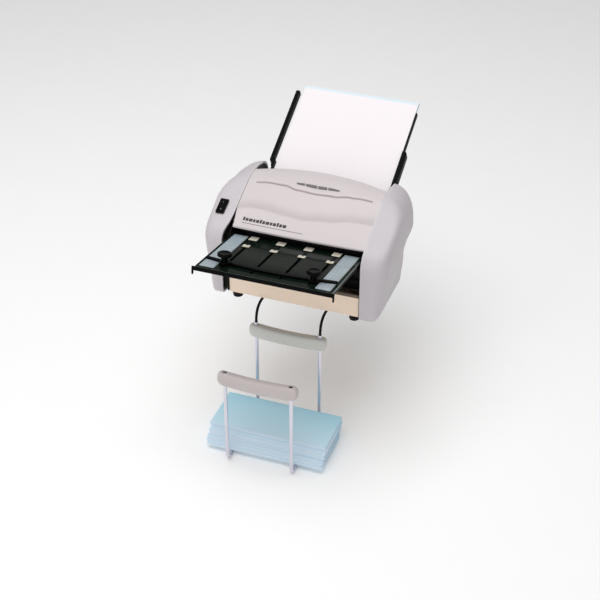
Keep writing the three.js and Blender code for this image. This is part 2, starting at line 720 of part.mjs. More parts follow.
const sideBend = (x, ...points) =>
  new THREE.QuadraticBezierCurve3(...points.map(([y, z]) => new THREE.Vector3(x, y, z)));
const sideLine = (x, ...points) =>
  new THREE.LineCurve3(...points.map(([y, z]) => new THREE.Vector3(x, y, z)));

function rodRoute(x) {
  const high = 7.5;
  const start = [STACKER_REAR + 27, high];
  const end = [STACKER_REAR, high - 26];
  const path = new THREE.CurvePath();
  path.add(sideLine(x, [-22, high], start));
  path.add(sideBend(x, start, [STACKER_REAR + 2, high], end));
  path.add(sideLine(x, end, [STACKER_REAR, WIRE_TOP - SOCKET_DEPTH + 1]));
  return path;
}

function wireRoute(x) {
  const bend = 13;
  const rear = [STACKER_REAR, STACKER_FLOOR + bend];
  const front = [STACKER_FRONT, STACKER_FLOOR + bend];
  const rearFoot = [STACKER_REAR - bend, STACKER_FLOOR];
  const frontFoot = [STACKER_FRONT + bend, STACKER_FLOOR];
  const path = new THREE.CurvePath();
  path.add(sideLine(x, [STACKER_REAR, WIRE_TOP], rear));
  path.add(sideBend(x, rear, [STACKER_REAR, STACKER_FLOOR], rearFoot));
  path.add(sideLine(x, rearFoot, frontFoot));
  path.add(sideBend(x, frontFoot, [STACKER_FRONT, STACKER_FLOOR], front));
  path.add(sideLine(x, front, [STACKER_FRONT, FRONT_BAR_TOP - 3]));
  return path;
}

// A round section swept along the points of a route that lies in a plane x = constant.
function sweepAlong(points, radius, sides) {
  const section = new THREE.Shape();
  section.absarc(0, 0, radius, 0, 2 * Math.PI, false);
  const route = new THREE.CatmullRomCurve3(points, false, "centripetal", 0.5);
  const options = { steps: points.length * 2, curveSegments: sides, extrudePath: route };
  return new THREE.ExtrudeGeometry(section, options);
}

function routePoints(route, spacing) {
  const points = [];
  for (const curve of route.curves) {
    const bent = curve instanceof THREE.QuadraticBezierCurve3;
    const count = bent ? 5 : Math.max(1, Math.round(curve.getLength() / spacing));
    for (let i = points.length ? 1 : 0; i <= count; i++) points.push(curve.getPoint(i / count));
  }
  return points;
}

function crossBar(y, top) {
  const depth = 16;
  const half = 70;
  const shape = new THREE.Shape();
  shape.moveTo(-half + 10, top - BAR_H);
  shape.quadraticCurveTo(0, top - BAR_H - 9, half - 10, top - BAR_H);
  shape.quadraticCurveTo(half, top - BAR_H + 2, half, top - 12);
  shape.quadraticCurveTo(half, top, half - 8, top);
  shape.quadraticCurveTo(0, top - 9, -half + 8, top);
  shape.quadraticCurveTo(-half, top, -half, top - 12);
  shape.quadraticCurveTo(-half, top - BAR_H + 2, -half + 10, top - BAR_H);
  const options = { depth, steps: 1, curveSegments: 5, bevelEnabled: false };
  const bar = new THREE.ExtrudeGeometry(shape, options);
  bar.rotateX(Math.PI / 2).translate(0, y + depth / 2, 0);
  const bores = [-WIRE_X, WIRE_X].map((x) => rodZ(WIRE_R + 0.6, top - 60, top + 20, x, y, 12));
  return cut(bar, ...bores);
}

function addStacker() {
  for (const [side, x] of [["left", -WIRE_X], ["right", WIRE_X]]) {
    const wire = sweepAlong(routePoints(wireRoute(x), 40), WIRE_R, 5);
    const wireSocket = rodZ(ROD_R + 0.4, WIRE_TOP - SOCKET_DEPTH, WIRE_TOP + 5, x, STACKER_REAR, 16);
    add(`stacker_wire_${side}`, cut(wire, wireSocket), "bright_steel");
    add(`hanger_rod_${side}`, sweepAlong(routePoints(rodRoute(x), 30), ROD_R, 4), "black_steel");

    const block = box(x - 7, x + 7, -54, -14, 2.5, FOOT_H - FIT_GAP);
    const hole = rodY(ROD_R + FIT_GAP, -60, -20, x, 7.5, 12);
    add(`stacker_socket_${side}`, cut(block, hole), "black_plastic");
  }
  add("stacker_bar_rear", crossBar(STACKER_REAR, REAR_BAR_TOP), "stacker_grey");
  add("stacker_bar_front", crossBar(STACKER_FRONT, FRONT_BAR_TOP), "stacker_grey");
  addLetters();
}

// Folded letters lie in the stacker, each a little further back than the one below it.
function addLetters() {
  const count = 12;
  const fold = SHEET_LENGTH / 3;
  const thickness = 2.7;
  const step = 2;
  const floor = STACKER_FLOOR + WIRE_R + FIT_GAP;
  const backOfTop = -127;
  const left = [];
  const right = [];
  for (let i = 0; i < count; i++) {
    const back = backOfTop - (count - 1 - i) * step;
    const z = floor + i * thickness;
    right.push([back, z], [back, z + thickness]);
    left.unshift([back - fold, z + thickness], [back - fold, z]);
  }
  const profile = polygon([...right, ...left]);
  add("folded_letters", sweepX(profile, -SHEET_WIDTH / 2, SHEET_WIDTH / 2), "blue_paper");
}

addCasings();
addPowerSwitch();
addHood();
addBase();
addRearCover();
addRollers();
addMotor();
addFrames();
addFeeder();
addLowerFoldPlate();
addUpperFoldPlate();
addStacker();

export default machine;
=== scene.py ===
import math
import random

import bmesh
import bpy
from mathutils import Matrix, Vector


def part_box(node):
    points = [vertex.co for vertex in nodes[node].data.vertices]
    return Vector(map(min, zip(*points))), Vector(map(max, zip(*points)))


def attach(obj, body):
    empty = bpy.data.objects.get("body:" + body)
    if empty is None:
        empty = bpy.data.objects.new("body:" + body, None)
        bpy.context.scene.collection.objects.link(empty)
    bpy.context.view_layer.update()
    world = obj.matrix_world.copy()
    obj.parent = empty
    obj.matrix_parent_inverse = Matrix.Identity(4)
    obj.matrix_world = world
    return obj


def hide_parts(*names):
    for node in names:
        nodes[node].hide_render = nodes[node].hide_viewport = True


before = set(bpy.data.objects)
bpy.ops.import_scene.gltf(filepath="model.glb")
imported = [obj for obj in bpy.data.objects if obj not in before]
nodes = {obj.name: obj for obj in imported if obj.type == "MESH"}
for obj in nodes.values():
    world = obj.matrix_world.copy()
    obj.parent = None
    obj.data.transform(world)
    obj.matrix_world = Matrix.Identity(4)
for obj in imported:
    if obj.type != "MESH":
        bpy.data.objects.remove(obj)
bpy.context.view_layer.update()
MM = 0.001


# ---- Camera ----
CAMERA_AT = (0.68613, -1.94110, 1.35158)  # metres
CAMERA_TURN = math.radians(20)
CAMERA_RISE = math.radians(34)
LENS = 84
SENSOR = 36


def add_camera():
    """The photograph's view: from the right front, above."""
    camera = bpy.data.objects.new("camera", bpy.data.cameras.new("camera"))
    bpy.context.scene.collection.objects.link(camera)
    camera.data.lens = LENS
    camera.data.sensor_width = SENSOR
    camera.location = CAMERA_AT
    level = math.cos(CAMERA_RISE)
    ahead = Vector((-math.sin(CAMERA_TURN) * level, math.cos(CAMERA_TURN) * level, -math.sin(CAMERA_RISE)))
    camera.rotation_euler = ahead.to_track_quat("-Z", "Y").to_euler()
    bpy.context.scene.camera = camera


add_camera()


# ---- Materials ----
def linear(colour):
    """An 8-bit sRGB colour as a linear RGBA."""
    parts = [c / 255 for c in colour]
    return [c / 12.92 if c <= 0.04045 else ((c + 0.055) / 1.055) ** 2.4 for c in parts] + [1]


class Surface:
    """A node-based material: a base colour that drifts, a grain in the bump, and edges that wear."""

    def __init__(self, name, colour, rough, metallic=0.0, drift=0.05, drift_scale=22, edge=0.0):
        self.material = bpy.data.materials.new(name)
        self.material.use_nodes = True
        self.tree = self.material.node_tree
        self.shader = self.tree.nodes["Principled BSDF"]
        self.shader.inputs["Metallic"].default_value = metallic
        coords = self.node("ShaderNodeTexCoord")
        self.place = coords.outputs["Object"]
        base = linear(colour)
        low = [c * (1 - drift) for c in base[:3]] + [1]
        high = [min(1, c * (1 + drift)) for c in base[:3]] + [1]
        self.colour = self.blend(self.noise(drift_scale, 5), low, high)
        if edge:
            worn = [c + (1 - c) * 0.35 for c in base[:3]] + [1]
            geometry = self.node("ShaderNodeNewGeometry")
            rim = self.spread(geometry.outputs["Pointiness"], 0.52, 0.6, 0, edge)
            self.colour = self.blend(rim, self.colour, worn)
        self.wire(self.colour, self.shader.inputs["Base Color"])
        spots = self.spread(self.noise(drift_scale * 6, 4), 0.3, 0.7, rough * 0.88, min(1, rough * 1.15))
        self.wire(spots, self.shader.inputs["Roughness"])

    def node(self, kind, **settings):
        made = self.tree.nodes.new(kind)
        for key, value in settings.items():
            setattr(made, key, value)
        return made

    def wire(self, source, target):
        if isinstance(source, (list, tuple, float, int)):
            target.default_value = source
        else:
            self.tree.links.new(source, target)

    def noise(self, scale, detail=3, stretch=None):
        """A noise in object space, 0 to 1."""
        texture = self.node("ShaderNodeTexNoise")
        texture.inputs["Scale"].default_value = scale
        texture.inputs["Detail"].default_value = detail
        place = self.place
        if stretch:
            mapping = self.node("ShaderNodeMapping")
            mapping.inputs["Scale"].default_value = stretch
            self.wire(place, mapping.inputs["Vector"])
            place = mapping.outputs["Vector"]
        self.wire(place, texture.inputs["Vector"])
        return texture.outputs["Fac"]

    def spread(self, value, from_low, from_high, low, high):
        """Maps one range to another, and stops at its ends."""
        ranged = self.node("ShaderNodeMapRange")
        self.wire(value, ranged.inputs["Value"])
        limits = {"From Min": from_low, "From Max": from_high, "To Min": low, "To Max": high}
        for key, number in limits.items():
            ranged.inputs[key].default_value = number
        return ranged.outputs["Result"]

    def sum(self, operation, a, b=0.0):
        math_node = self.node("ShaderNodeMath", operation=operation)
        self.wire(a, math_node.inputs[0])
        self.wire(b, math_node.inputs[1])
        return math_node.outputs[0]

    def blend(self, factor, a, b):
        mix = self.node("ShaderNodeMix", data_type="RGBA")
        self.wire(factor, mix.inputs["Factor"])
        self.wire(a, mix.inputs["A"])
        self.wire(b, mix.inputs["B"])
        return mix.outputs["Result"]

    def paint(self, factor, colour):
        """Lays another colour over the base where the factor is 1."""
        self.colour = self.blend(factor, self.colour, linear(colour))
        self.wire(self.colour, self.shader.inputs["Base Color"])
        return self

    def bump(self, height, strength, distance):
        """Adds a bump of that height, in metres, over any before it."""
        made = self.node("ShaderNodeBump")
        made.inputs["Strength"].default_value = strength
        made.inputs["Distance"].default_value = distance
        self.wire(height, made.inputs["Height"])
        normal = self.shader.inputs["Normal"]
        if normal.is_linked:
            self.wire(normal.links[0].from_socket, made.inputs["Normal"])
        self.wire(made.outputs["Normal"], normal)
        return self

    def grain(self, scale, strength, distance=0.0001, stretch=None, detail=2):
        return self.bump(self.noise(scale, detail, stretch), strength, distance)

    def set(self, **inputs):
        """Sets the shader's own sockets, with _ for a space."""
        for key, value in inputs.items():
            self.shader.inputs[key.replace("_", " ")].default_value = value
        return self

    def axis(self, name):
        split = self.node("ShaderNodeSeparateXYZ")
        self.wire(self.place, split.inputs[0])
        return split.outputs[name]


def shell_plastic(name, colour):
    made = Surface(name, colour, 0.46, drift=0.025, drift_scale=14, edge=0.35)
    made.grain(1500, 0.35, 0.00005).grain(260, 0.12, 0.0001)
    return made.set(Specular_IOR_Level=0.45).material


def hood_plastic():
    """The hood's plastic, with painted shade in the hollow just above its crease."""
    made = Surface("hood_grey_plastic", (211, 202, 203), 0.46, drift=0.025, drift_scale=14, edge=0.35)
    below = made.node("ShaderNodeAttribute", attribute_name="lip").outputs["Fac"]
    # painted shade: the "lip" attribute darkens the hood just above its crease
    made.paint(made.sum("MULTIPLY", below, 0.5), (176, 166, 166))
    return made.grain(1500, 0.35, 0.00005).grain(260, 0.12, 0.0001).set(Specular_IOR_Level=0.45).material


# The dark materials keep a low specular level: the machine's blacks are matt.
def black_plastic(name, colour=(7, 8, 8), rough=0.45):
    made = Surface(name, colour, rough, drift=0.12, drift_scale=30)
    return made.grain(1300, 0.3, 0.00005).set(Specular_IOR_Level=0.05).material


def painted_steel(name, colour, rough, drift=0.03):
    made = Surface(name, colour, rough, metallic=0.0, drift=drift, drift_scale=40)
    made.grain(700, 0.3, 0.00006).grain(2200, 0.2, 0.00003)
    return made.set(Specular_IOR_Level=0.1).material


def plated_steel(name, colour=(208, 208, 214), rough=0.2, stretch=(1, 1, 1)):
    made = Surface(name, colour, rough, metallic=1.0, drift=0.05, drift_scale=60)
    return made.grain(900, 0.12, 0.00003, stretch).material


def rubber(name, colour=(15, 15, 16)):
    made = Surface(name, colour, 0.72, drift=0.15, drift_scale=50)
    return made.grain(1100, 0.5, 0.0001).set(Specular_IOR_Level=0.2).material


def nylon(name):
    made = Surface(name, (229, 223, 208), 0.42, drift=0.03, edge=0.1)
    made.set(Subsurface_Weight=0.05, Subsurface_Scale=0.002)
    return made.grain(600, 0.2, 0.00005).material


def paper(name, colour, drift=0.012):
    made = Surface(name, colour, 0.86, drift=drift, drift_scale=9)
    made.grain(2400, 0.25, 0.00003, (1, 3, 1)).grain(90, 0.1, 0.0002)
    return made.set(Specular_IOR_Level=0.25).material


LETTER_SHADE_FROM = -0.235  # the letters' front and rear, in metres, over which painted shade deepens their colour
LETTER_SHADE_TO = -0.13
LAYER_PITCH = 0.0045


def letter_paper():
    """Pale blue sheets with painted shade that deepens their colour towards the rear; their cut and folded
    edges are painted paler, partly as the paper's own edges and partly as painted light, and show white
    layers.
    """
    made = Surface("blue_letter", (214, 240, 255), 0.86, drift=0.03, drift_scale=9)
    # painted shade: the sheets' colour deepens from front to rear
    made.paint(made.spread(made.axis("Y"), LETTER_SHADE_FROM, LETTER_SHADE_TO, 0, 1), (184, 232, 250))
    geometry = made.node("ShaderNodeNewGeometry")
    split = made.node("ShaderNodeSeparateXYZ")
    made.wire(geometry.outputs["Normal"], split.inputs[0])
    # the near-vertical faces are painted paler: partly the paper's cut edges, partly painted light where the
    # lamps leave them in shade
    edge = made.sum("LESS_THAN", made.sum("ABSOLUTE", split.outputs["Z"]), 0.6)
    made.paint(edge, (246, 241, 250))
    layer = made.sum("FRACT", made.sum("DIVIDE", made.sum("ADD", made.axis("Z"), 1.0), LAYER_PITCH))
    white = made.sum("MULTIPLY", made.sum("LESS_THAN", layer, 0.5), made.noise(55, 3, (1, 1, 0.2)))
    made.paint(made.sum("MULTIPLY", made.sum("MULTIPLY", white, edge), 1.8), (252, 253, 255))
    made.grain(2400, 0.25, 0.00003, (1, 3, 1)).grain(90, 0.1, 0.0002)
    return made.set(Specular_IOR_Level=0.2).material


def smoked_acrylic():
    """The fold plate's dark green cover, which lets a little light through."""
    made = Surface("smoked_acrylic", (18, 30, 22), 0.12, drift=0.2, drift_scale=12)
    made.grain(300, 0.06, 0.00003)
    return made.set(Transmission_Weight=0.3, IOR=1.3, Specular_IOR_Level=0.06).material


def acrylic_edge():
    made = Surface("acrylic_edge", (120, 142, 136), 0.25, drift=0.12, drift_scale=70)
    return made.grain(500, 0.3, 0.00005, (0.1, 1, 1)).material


# pitch, reach from the middle and width as a share of the pitch, of the short and long ticks, in metres
TICKS = ((0.0025, 0.0895, 0.16), (0.0125, 0.0925, 0.05))
TICKS_FROM = 0.0868
ROW_PITCH = 0.0125
RULES = ((0.0951, 0.0955), (0.1018, 0.1021), (0.1082, 0.1086))  # the lines that run along the plate


def scale_film():
    """A pale film with a ruler's ticks, rows across and three lines along the plate."""
    made = Surface("scale_film", (166, 178, 184), 0.34, drift=0.2, drift_scale=60)
    along = made.axis("Y")
    across = made.sum("ABSOLUTE", made.axis("X"))
    for pitch, reach, width in TICKS:
        phase = made.sum("FRACT", made.sum("DIVIDE", along, pitch))
        tick = made.sum("LESS_THAN", phase, width)
        near = made.sum("LESS_THAN", across, reach)
        far = made.sum("GREATER_THAN", across, TICKS_FROM)
        made.paint(made.sum("MULTIPLY", made.sum("MULTIPLY", tick, near), far), (70, 92, 108))
    row = made.sum("LESS_THAN", made.sum("FRACT", made.sum("DIVIDE", along, ROW_PITCH)), 0.04)
    made.paint(made.sum("MULTIPLY", row, 0.7), (96, 110, 120))
    for low, high in RULES:
        inside = made.sum("GREATER_THAN", across, low)
        line = made.sum("MULTIPLY", inside, made.sum("LESS_THAN", across, high))
        made.paint(line, (104, 126, 140))
    return made.grain(800, 0.1, 0.00003).material


def floor_material():
    """A near-white floor that glows faintly, like a lit studio sweep."""
    made = Surface("floor_white", (253, 253, 253), 0.7, drift=0.004, drift_scale=3)
    made.set(Emission_Color=(1, 1, 1, 1), Emission_Strength=0.09)
    return made.grain(120, 0.05, 0.0001).material


shell_grey = shell_plastic("shell_grey_plastic", (201, 195, 199))
hood_grey = hood_plastic()
stacker_grey = shell_plastic("stacker_grey_plastic", (207, 206, 200))
stacker_rose = shell_plastic("stacker_rose_plastic", (196, 187, 186))
# painted shade: the dark grey laid in the hood's groove
groove_shade = black_plastic("groove_shadow", (170, 158, 160), 0.6)
print_grey = black_plastic("print_grey", (122, 117, 120), 0.5)
print_dark = black_plastic("print_dark", (82, 77, 79), 0.5)
black = black_plastic("black_plastic")
gloss_black = black_plastic("gloss_black_plastic", (6, 7, 7), 0.3)
mark_white = Surface("mark_grey", (150, 150, 150), 0.4, drift=0.03).material
black_paint = painted_steel("black_paint", (9, 10, 10), 0.42, 0.1)
rod_black = painted_steel("rod_black", (14, 14, 15), 0.35, 0.1)
plate_black = painted_steel("plate_black", (16, 24, 18), 0.34, 0.15)
cream = painted_steel("cream_paint", (255, 231, 210), 0.42)
finger_cream = painted_steel("finger_cream", (205, 199, 184), 0.32)
chrome = plated_steel("chrome_wire", (214, 212, 222), 0.16)
zinc = plated_steel("zinc_plate", (190, 192, 194), 0.32, (1, 12, 1))
acrylic = smoked_acrylic()
edge_acrylic = acrylic_edge()
film = scale_film()
roller_rubber = rubber("roller_rubber", (26, 26, 27))
soft_rubber = rubber("soft_rubber")
gear_nylon = nylon("gear_nylon")
white_sheet = paper("white_sheet", (246, 240, 243))
blue_sheet = paper("blue_sheet", (222, 236, 244))
blue_letter = letter_paper()


# ---- Geometry helpers: everything is drawn in millimetres ----
def smoothstep(value, low, high):
    """0 below `low`, 1 above `high`, and a smooth rise between them."""
    t = min(1, max(0, (value - low) / (high - low)))
    return t * t * (3 - 2 * t)


def through(knots, x):
    """A smooth curve through (x, y) knots."""
    if x <= knots[0][0]:
        return knots[0][1]
    for (x0, y0), (x1, y1) in zip(knots, knots[1:]):
        if x <= x1:
            return y0 + (y1 - y0) * smoothstep(x, x0, x1)
    return knots[-1][1]


def outline(start, *steps, straight=5, bent=9):
    """Points along a route: a step is an (a, b) end, or a (control, end) pair for a bend."""
    points = [start]
    for step in steps:
        a = points[-1]
        if isinstance(step[0], (tuple, list)):
            c, e = step
            for i in range(1, bent + 1):
                t = i / bent
                shares = ((1 - t) ** 2, 2 * t * (1 - t), t * t)
                points.append(tuple(shares[0] * a[k] + shares[1] * c[k] + shares[2] * e[k] for k in (0, 1)))
        else:
            for i in range(1, straight + 1):
                t = i / straight
                points.append(tuple(a[k] + (step[k] - a[k]) * t for k in (0, 1)))
    return points


def rounded(a0, a1, b0, b1, radius, count=5):
    """The outline of a rectangle with round corners."""
    points = []
    for (a, b), start in (
        ((a1 - radius, b1 - radius), 0),
        ((a0 + radius, b1 - radius), 90),
        ((a0 + radius, b0 + radius), 180),
        ((a1 - radius, b0 + radius), 270),
    ):
        for i in range(count + 1):
            angle = math.radians(start + 90 * i / count)
            points.append((a + radius * math.cos(angle), b + radius * math.sin(angle)))
    return points


def tilt(y, z, angle):
    """A frame at (0, y, z), turned about X."""
    return Matrix.Translation((0, y, z)) @ Matrix.Rotation(angle, 4, "X")


class Shape:
    """Collects closed bodies and turns them into one piece."""

    def __init__(self, place=None):
        self.bm = bmesh.new()
        self.place = place or Matrix()

    def ring(self, points):
        return [self.bm.verts.new(self.place @ Vector(p)) for p in points]

    def loft(self, rings, caps=True, slots=None):
        """Joins rings of points; `slots` gives a material number for each place round a ring."""
        made = [self.ring(points) for points in rings]
        for low, high in zip(made, made[1:]):
            count = len(low)
            for i in range(count):
                j = (i + 1) % count
                face = self.bm.faces.new((low[i], low[j], high[j], high[i]))
                if slots:
                    face.material_index = slots(i)
        if caps:
            self.bm.faces.new(made[0][::-1])
            self.bm.faces.new(made[-1])
        return self

    def prism(self, axis, points, *heights):
        """An outline pushed along an axis through each of the heights."""
        def at(h, a, b):
            return {"x": (h, a, b), "y": (a, h, b), "z": (a, b, h)}[axis]

        return self.loft([[at(h, a, b) for a, b in points] for h in heights])

    def box(self, x0, x1, y0, y1, z0, z1):
        return self.prism("z", [(x0, y0), (x1, y0), (x1, y1), (x0, y1)], z0, z1)

    def lathe(self, axis, centre, profile, steps=48, wave=None):
        """Turns (radius, height) points about an axis through `centre`; `wave` scales the radius by angle."""
        rings = []
        for radius, height in profile:
            ring = []
            for i in range(steps):
                angle = 2 * math.pi * i / steps
                r = radius * (wave(angle, height) if wave else 1)
                a, b = centre[0] + r * math.cos(angle), centre[1] + r * math.sin(angle)
                ring.append({"x": (height, a, b), "y": (a, height, b), "z": (a, b, height)}[axis])
            rings.append(ring)
        return self.loft(rings)

    def tube(self, points, radius, sides=20, ends=2):
        """A round rod along points, its two ends rounded over."""
        path = [Vector(p) for p in points]
        ways = []
        for i in range(len(path)):
            before = path[max(0, i - 1)]
            after = path[min(len(path) - 1, i + 1)]
            ways.append((after - before).normalized())
        side = ways[0].orthogonal().normalized()
        rings = []
        for i, (point, way) in enumerate(zip(path, ways)):
            side = (side - way * side.dot(way)).normalized()
            up = way.cross(side)
            spokes = [
                side * math.cos(2 * math.pi * k / sides) + up * math.sin(2 * math.pi * k / sides)
                for k in range(sides)
            ]
            rings.append([point + s * radius for s in spokes])
            if i in (0, len(path) - 1) and ends:
                out = -way if i == 0 else way
                caps = []
                for k in range(1, ends + 1):
                    angle = math.radians(80 * k / ends)
                    centre = point + out * radius * 0.6 * math.sin(angle)
                    caps.append([centre + s * radius * math.cos(angle) for s in spokes])
                rings = caps[::-1] + rings if i == 0 else rings + caps
        return self.loft(rings)

    def piece(self, name, finish, body, stands_for=(), slot=None, bevel=0.0, angle=35):
        """Makes the object, rides it on its body and hides the CAD nodes that it stands for."""
        bmesh.ops.scale(self.bm, vec=(MM, MM, MM), verts=self.bm.verts)
        bmesh.ops.recalc_face_normals(self.bm, faces=self.bm.faces)
        mesh = bpy.data.meshes.new(name)
        self.bm.to_mesh(mesh)
        self.bm.free()
        for material in finish if isinstance(finish, (list, tuple)) else [finish]:
            mesh.materials.append(material)
        made = bpy.data.objects.new(name, mesh)
        bpy.context.scene.collection.objects.link(made)
        mesh.shade_smooth()
        if bevel:
            soften(made, bevel, angle)
        else:
            mesh.set_sharp_from_angle(angle=math.radians(angle))
        if body:
            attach(made, body)
        if stands_for:
            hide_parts(*stands_for)
        return made


def soften(made, width, angle=35):
    """Rounds an object's edges, and keeps its flat faces flat in the shading."""
    bevel = made.modifiers.new("edges", "BEVEL")
    bevel.width = width * MM
    bevel.segments = 2
    bevel.limit_method = "ANGLE"
    bevel.angle_limit = math.radians(angle)
    bevel.use_clamp_overlap = True
    normals = made.modifiers.new("normals", "WEIGHTED_NORMAL")
    normals.keep_sharp = False


def carve(made, shape):
    """Cuts a shape out of a piece's mesh."""
    cutter = shape.piece("cutter", groove_shade, None)
    cut = made.modifiers.new("cut", "BOOLEAN")
    cut.operation = "DIFFERENCE"
    cut.object = cutter
    cut.solver = "EXACT"
    graph = bpy.context.evaluated_depsgraph_get()
    mesh = bpy.data.meshes.new_from_object(made.evaluated_get(graph))
    made.modifiers.clear()
    made.data = mesh
    bpy.data.objects.remove(cutter)
    mesh.set_sharp_from_angle(angle=math.radians(35))


# ---- Side casings ----
CASING_IN = 119.6
CASING_HALF = 164.5
CASING_FOOT_HALF = 153
WALL = 3
LEFT_FLARE = 7  # how far the left casing's open side draws back at the very front
CROWN = 1.0  # how far the casing's side bulges
FRONT_CORNER = 24  # radii of the casing's corners in plan
REAR_CORNER = 56
TOP_EDGE_FRONT = 9.6  # radii of the top's outer edge
TOP_EDGE_REAR = 44
BOTTOM_EDGE = 12.5
SHOULDER_Z = 118
STEP_Z = 74  # at the back the shoulder steps in above this height
CASING_FOOT_Z = 9
CASING_MIDDLE = (-5, 98)  # y and z at which the closed side's rings meet
SPREAD_STEPS = 18  # rings from the open side to the closed one


def casing_profile(inset):
    """The casing's side view, drawn in by `inset` for its inner face."""
    front, back, top, foot = -97 + inset, 112 - inset, -inset, CASING_FOOT_Z + inset
    notch = 84 - inset
    return outline(
        (front + 8, foot),
        (48 - inset, foot),
        ((54 - inset, foot), (58 - inset, 14.5 + inset)),
        (notch - 4, 44.5),
        ((notch, 50), (notch, 58)),
        (notch, 87 + inset),
        ((notch, 93 + inset), (notch + 7, 94.5 + inset)),
        (back - 6, 98 + inset),
        ((back, 99 + inset), (back, 106 + inset)),
        (back, 130),
        ((back, 174 + top), (80, 177 + top)),
        ((46, 186 + top), (13, 177 + top)),
        (-72, 140.6 + top),
        ((front, 130 + top), (front, 108)),
        (front, foot + 8),
        ((front, foot), (front + 7.5, foot)),
    )


def corner(x, end, radius):
    """How far a round corner of that radius has drawn in at x, when it ends at `end`."""
    past = min(radius, max(0, x - (end - radius)))
    return radius - math.sqrt(radius * radius - past * past)


def casing_point(x, y, z, end, flare):
    """Squeezes a point of the swept profile to the casing's round plan, soft top and stepped shoulder."""
    top_edge = TOP_EDGE_FRONT + (TOP_EDGE_REAR - TOP_EDGE_FRONT) * smoothstep(y, -24, 46)
    drawn_from = CASING_FOOT_Z + (STEP_Z - CASING_FOOT_Z) * smoothstep(y, -60, 70)
    drawn_back = flare * smoothstep(-y, 64, 96)
    if y < -20:
        y += corner(x, end, FRONT_CORNER) * (-20 - y) / 77
    elif y > 20:
        y -= corner(x, end, REAR_CORNER) * (y - 20) / 92
    z -= corner(x, end, top_edge) * min(1, max(0, (z - 90) / 50))
    z += corner(x, end, BOTTOM_EDGE) * min(1, max(0, (45 - z) / 36))
    drawn_in = (CASING_HALF - CASING_FOOT_HALF) * (1 - smoothstep(z, drawn_from, SHOULDER_Z))
    x += (drawn_back * (end - x) - drawn_in * (x - CASING_IN)) / (end - CASING_IN)
    return x, y, z


def casing_rings(inset, caps, flare):
    """Rings from the open side outwards, then rings that shrink to the middle of the closed side."""
    end = CASING_HALF - CROWN - inset
    profile = casing_profile(inset)
    rings = []
    for i in range(SPREAD_STEPS + 1):
        x = CASING_IN + (end - CASING_IN) * math.sin(math.pi / 2 * i / SPREAD_STEPS)
        rings.append([casing_point(x, y, z, end, flare) for y, z in profile])
    y0, z0 = CASING_MIDDLE
    for share in caps:
        ring = []
        for y, z in profile:
            x, y, z = casing_point(end, y0 + (y - y0) * share, z0 + (z - z0) * share, end, flare)
            ring.append((x + CROWN * (1 - share * share), y, z))
        rings.append(ring)
    return rings


def add_casings():
    """The two side casings, mirror images but for the left one's flare and switch opening."""
    shrinking = (0.985, 0.96, 0.92, 0.86, 0.78, 0.68, 0.56, 0.42, 0.28, 0.14)
    for side, sign in (("left", -1), ("right", 1)):
        flare = LEFT_FLARE if side == "left" else 0
        outer = casing_rings(0, shrinking, flare)
        inner = casing_rings(WALL, (0.9, 0.6, 0.3), flare)
        shape = Shape(Matrix.Scale(sign, 4, (1, 0, 0)))
        # One skin runs from the middle of the inside, round the open rim, to the middle of the outside.
        shape.loft(inner[::-1] + outer)
        shell = shape.piece(f"side_casing_{side}", shell_grey, "machine", [f"casing_{side}"], "shell_grey")
        if side == "left":
            carve(shell, switch_opening())


# ---- Power switch ----
CASING_RISE = 0.4286  # the slope of the casing's front, as rise over run
SWITCH = Matrix.Translation((-143.5, -47.5, 152.17)) @ Matrix.Rotation(math.atan(CASING_RISE), 4, "X")


def switch_opening():
    """The hole in the left casing that the bezel fills."""
    return Shape(SWITCH).box(-6.6, 6.6, -14, 14, -30, 8)


def add_switch():
    """A bezel with a raised lip round its opening, and a rocker with two marks."""
    bezel = Shape(SWITCH)
    outer = [rounded(-7.6, 7.6, -15.2, 15.2, r, 4) for r in (1.6, 1.6, 1.2)]
    inner = [rounded(-5, 5, -12.4, 12.4, 0.8, 4), rounded(-5, 5, -12.4, 12.4, 0.8, 4)]
    levels = (0.6, 1.7, 2.2)
    rings = [[(a, b, h) for a, b in points] for points, h in zip(outer, levels)]
    rings += [[(a, b, h) for a, b in points] for points, h in zip(inner, (2.2, -9))]
    bezel.loft(rings, caps=False)
    under = [[(a, b, h) for a, b in rounded(-6.2, 6.2, -13.6, 13.6, 0.8, 4)] for h in (0.6, -19.8)]
    bezel.loft([rings[0], *under])
    bezel.bm.faces.new(bezel.ring(rings[-1]))
    bmesh.ops.remove_doubles(bezel.bm, verts=bezel.bm.verts, dist=0.01)
    bezel.piece("power_bezel", gloss_black, "machine", ["switch_bezel"], "black_plastic", bevel=0.25)

    rocker = Shape(SWITCH)
    section = outline(
        (-11.6, 2.3), (-11.3, 0.4), (-5, -4.4), (5, -4.4), (11.3, 0.4), (11.6, 4.3),
        ((5, 3.3), (0, 2.4)), ((-5, 1.9), (-11.6, 2.3)), straight=2, bent=8,
    )[:-1]
    rocker.prism("x", section, -4.5, 4.5)
    rocker.piece("power_rocker", black, "rocker", ["switch_rocker"], "black_plastic", bevel=0.4, angle=50)
    marks = Shape(SWITCH)
    marks.box(-0.3, 0.3, 5.8, 8.2, 3.2, 3.72)
    ring = [(1.3, 2.1), (1.3, 2.3), (1.0, 2.3), (1.0, 2.1)]
    marks.lathe("z", (0, -7), ring, 24)
    marks.piece("rocker_marks", mark_white, "rocker", slot="label")


# ---- Hood ----
HOOD_HALF = 119.2
LIP_LEFT = 113.5  # the lower lip's reach on the left
LIP_TOP = (-74, 138.2)  # y and z of the front slope's lower end
HOOD_RISE = 0.428  # the front slope, as rise over run
HOOD_CROWN = 7
HOOD_SWEEP = 14  # how far the rear edge curves back at the middle
LIP_BOW = 3
GROOVE_Y = 9  # the groove's place before its wave is added
GROOVE_DEPTH = 1.5
CREASE_DEPTH = 1.5
